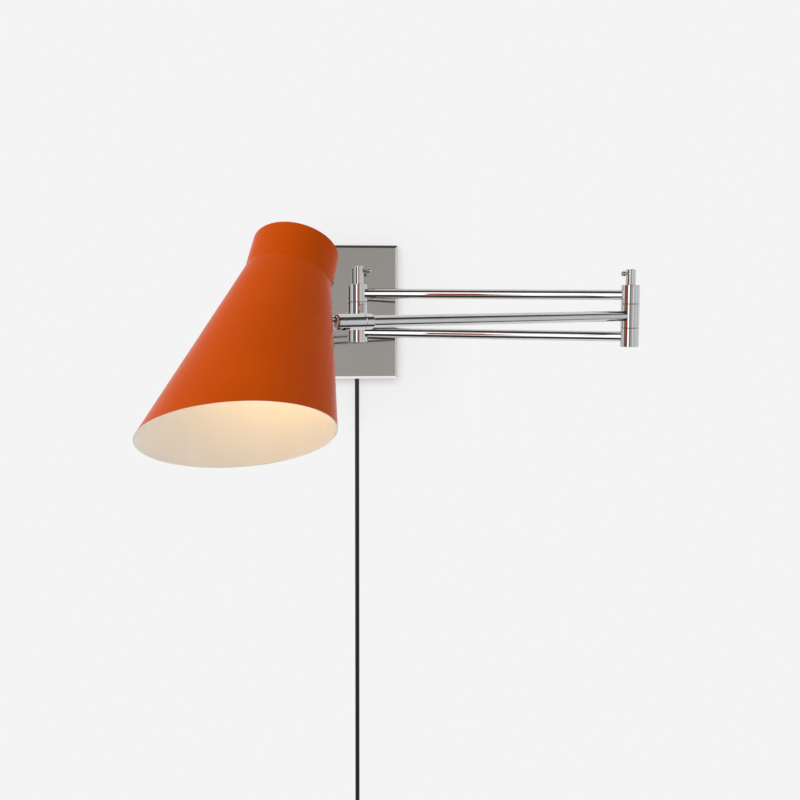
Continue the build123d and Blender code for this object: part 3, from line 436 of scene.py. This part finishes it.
def fading(material, half_x, half_z):
    """Thins a backdrop out toward its edges."""
    tree = material.node_tree
    mix = [n for n in tree.nodes if n.type == "MIX_SHADER"][0]
    back = mix.inputs["Fac"].links[0].from_socket
    coord = tree.nodes.new("ShaderNodeTexCoord")
    split = tree.nodes.new("ShaderNodeSeparateXYZ")
    tree.links.new(coord.outputs["Object"], split.inputs[0])

    def step(kind, first, second):
        node = tree.nodes.new("ShaderNodeMath")
        node.operation = kind
        tree.links.new(first, node.inputs[0])
        if isinstance(second, float):
            node.inputs[1].default_value = second
        elif second is not None:
            tree.links.new(second, node.inputs[1])
        return node.outputs[0]

    along = step("MULTIPLY", step("ABSOLUTE", split.outputs["X"], None), 1.0 / half_x)
    up = step("MULTIPLY", step("ABSOLUTE", split.outputs["Z"], None), 1.0 / half_z)
    far = tree.nodes.new("ShaderNodeMapRange")
    far.interpolation_type = "SMOOTHSTEP"
    far.inputs["From Min"].default_value = 0.62
    far.inputs["From Max"].default_value = 0.98
    tree.links.new(step("MAXIMUM", along, up), far.inputs["Value"])
    tree.links.new(step("MAXIMUM", far.outputs["Result"], back), mix.inputs["Fac"])
    return material


def wall_sheet(name, half_x, half_z, y, material):
    mesh = bpy.data.meshes.new(name)
    mesh.from_pydata(
        [(-half_x, y, -half_z), (half_x, y, -half_z), (half_x, y, half_z), (-half_x, y, half_z)],
        [],
        [(0, 1, 2, 3)],
    )
    mesh.materials.append(material)
    obj = bpy.data.objects.new(name, mesh)
    scene.collection.objects.link(obj)
    return obj


# The wall gives its light to the lamp; what is seen of it is the part round the plate,
# which runs out into the plain ground, so the lamp is whole in every pose and view.
wall_light = wall_sheet(
    "wall_light", 6.0, 4.0, 0.0006, one_sided("wall_light_paint", (0.30, 0.30, 0.30), 0.367)
)
wall_light.visible_camera = False
wall = wall_sheet(
    "wall_backdrop",
    0.17,
    0.20,
    0.0004,
    fading(one_sided("wall_paint", (0.30, 0.30, 0.30), 0.367), 0.17, 0.20),
)
wall.visible_diffuse = False
wall.visible_glossy = False
wall.visible_transmission = False
wall.visible_shadow = False

# --------------------------------------------------------------------- lights
# The room, as the polished metal sees it: a narrow white panel at the left,
# a grey patch straight ahead, pale areas at the right, dark above and below.
world = bpy.data.worlds.new("studio")
scene.world = world
world.use_nodes = True
tree = world.node_tree
tree.nodes.clear()
GAIN = 2.2


def math_node(kind, a, b=None):
    node = tree.nodes.new("ShaderNodeMath")
    node.operation = kind
    tree.links.new(a, node.inputs[0])
    if b is not None:
        if isinstance(b, (int, float)):
            node.inputs[1].default_value = b
        else:
            tree.links.new(b, node.inputs[1])
    return node.outputs["Value"]


where = tree.nodes.new("ShaderNodeTexCoord")
split = tree.nodes.new("ShaderNodeSeparateXYZ")
tree.links.new(where.outputs["Generated"], split.inputs["Vector"])
toward = math_node("MULTIPLY", split.outputs["Y"], -1.0)
azimuth = math_node("ARCTAN2", split.outputs["X"], toward)
height = math_node("ARCSINE", split.outputs["Z"])


def by_angle(angle, reach, stops):
    """A colour against an angle in degrees, given as (degrees, colour) stops."""
    share = tree.nodes.new("ShaderNodeMapRange")
    share.inputs["From Min"].default_value = -math.radians(reach)
    share.inputs["From Max"].default_value = math.radians(reach)
    tree.links.new(angle, share.inputs["Value"])
    placed = [((d + reach) / (2 * reach), tuple(c / GAIN for c in colour)) for d, colour in stops]
    return ramp(tree, share.outputs["Result"], placed)


def grey(v, warm=0.0):
    return (v * (1 + warm), v, v * (1 - warm))


def patch(around, upward):
    """Light from one part of the room: colour by azimuth, times a share by height."""
    a = by_angle(azimuth, 180, around)
    e = by_angle(height, 90, [(d, grey(v * GAIN)) for d, v in upward])
    node = tree.nodes.new("ShaderNodeVectorMath")
    node.operation = "MULTIPLY"
    tree.links.new(a, node.inputs[0])
    tree.links.new(e, node.inputs[1])
    return node.outputs["Vector"]


def plus(a, b):
    node = tree.nodes.new("ShaderNodeVectorMath")
    node.operation = "ADD"
    tree.links.new(a, node.inputs[0])
    tree.links.new(b, node.inputs[1])
    return node.outputs["Vector"]


O = grey(0.0)
ahead = patch(
    [
        (-178, grey(0.5)), (-100, grey(0.5)), (-88, grey(0.16)), (-50, grey(0.15)), (-22, grey(0.26)),
        (-9, grey(0.32)), (-4, grey(0.50, 0.03)), (9, grey(0.50, 0.03)), (12, O), (50, O),
        (56, grey(0.85, -0.03)), (82, grey(0.75, -0.03)), (90, grey(0.5)), (178, grey(0.5)),
    ],
    [(-40, 0.0), (-28, 0.9), (-5, 1.0), (3, 1.0), (13, 0.84), (19, 0.7), (28, 0.05), (60, 0.03), (80, 0.05)],
)
right = patch(
    [(10, O), (13, grey(0.95, -0.03)), (24, grey(0.90, -0.03)), (34, grey(0.66, -0.03)), (50, grey(0.62, -0.03)), (58, O)],
    [(-11, 0.05), (-7, 1.0), (14, 1.0), (24, 0.0)],
)
panel = patch(
    [(-45, O), (-42, grey(1.8, -0.01)), (-29, grey(1.8, -0.01)), (-26, O)],
    [(-28, 0.0), (-18, 1.0), (26, 1.0), (42, 0.0)],
)
below = by_angle(height, 90, [(-80, grey(1.45)), (-72, grey(0.05)), (-40, grey(0.03)), (0, grey(0.02)), (60, grey(0.04)), (84, grey(0.10))])
seen = plus(plus(ahead, right), plus(panel, below))

world_out = tree.nodes.new("ShaderNodeOutputWorld")
soft = tree.nodes.new("ShaderNodeBackground")
soft.inputs["Color"].default_value = (1, 1, 1, 1)
soft.inputs["Strength"].default_value = 0.60
gloss = tree.nodes.new("ShaderNodeBackground")
tree.links.new(seen, gloss.inputs["Color"])
gloss.inputs["Strength"].default_value = GAIN
shown = tree.nodes.new("ShaderNodeBackground")
shown.inputs["Color"].default_value = (*PALE, 1)
shown.inputs["Strength"].default_value = 1.0
rays = tree.nodes.new("ShaderNodeLightPath")
mix_gloss = tree.nodes.new("ShaderNodeMixShader")
mix_shown = tree.nodes.new("ShaderNodeMixShader")
tree.links.new(rays.outputs["Is Glossy Ray"], mix_gloss.inputs["Fac"])
tree.links.new(soft.outputs["Background"], mix_gloss.inputs[1])
tree.links.new(gloss.outputs["Background"], mix_gloss.inputs[2])
tree.links.new(rays.outputs["Is Camera Ray"], mix_shown.inputs["Fac"])
tree.links.new(mix_gloss.outputs["Shader"], mix_shown.inputs[1])
tree.links.new(shown.outputs["Background"], mix_shown.inputs[2])
tree.links.new(mix_shown.outputs["Shader"], world_out.inputs["Surface"])


def group(name, members):
    collection = bpy.data.collections.new(name)
    for obj in members:
        collection.objects.link(obj)
    return collection


lamp_only = group("lamp_only", list(NODES.values()) + [flex])
wall_only = group("wall_only", [wall, wall_light])
plate_only = group("plate_only", [NODES["wall_plate"]])


def place(obj, at, to):
    obj.location = at
    obj.rotation_mode = "QUATERNION"
    obj.rotation_quaternion = (Vector(to) - Vector(at)).to_track_quat("-Z", "Y")
    obj.visible_camera = False
    scene.collection.objects.link(obj)


# a soft key from the left, on the lamp
data = bpy.data.lights.new("key_left", "AREA")
data.shape, data.size, data.size_y = "RECTANGLE", 1.4, 1.4
data.energy = 39
key = bpy.data.objects.new("key_left", data)
place(key, (-2.25, -1.75, 1.15), (0.0, -0.25, 0.0))
key.visible_glossy = False
key.light_linking.receiver_collection = lamp_only

# the wall's own light, which throws the backplate's soft shadow
data = bpy.data.lights.new("wall_wash", "SUN")
data.energy = 3.97
data.angle = math.radians(52)
wash = bpy.data.objects.new("wall_wash", data)
place(wash, (-0.17, -0.95, 0.26), (0.0, 0.0, 0.0))
wash.visible_glossy = False
wash.light_linking.receiver_collection = wall_only
wash.light_linking.blocker_collection = plate_only

# ---------------------------------------------------------------------- looks
scene.view_settings.view_transform = "Standard"
scene.view_settings.look = "None"
scene.view_settings.exposure = 0.0
scene.view_settings.gamma = 1.0

bpy.context.view_layer.update()
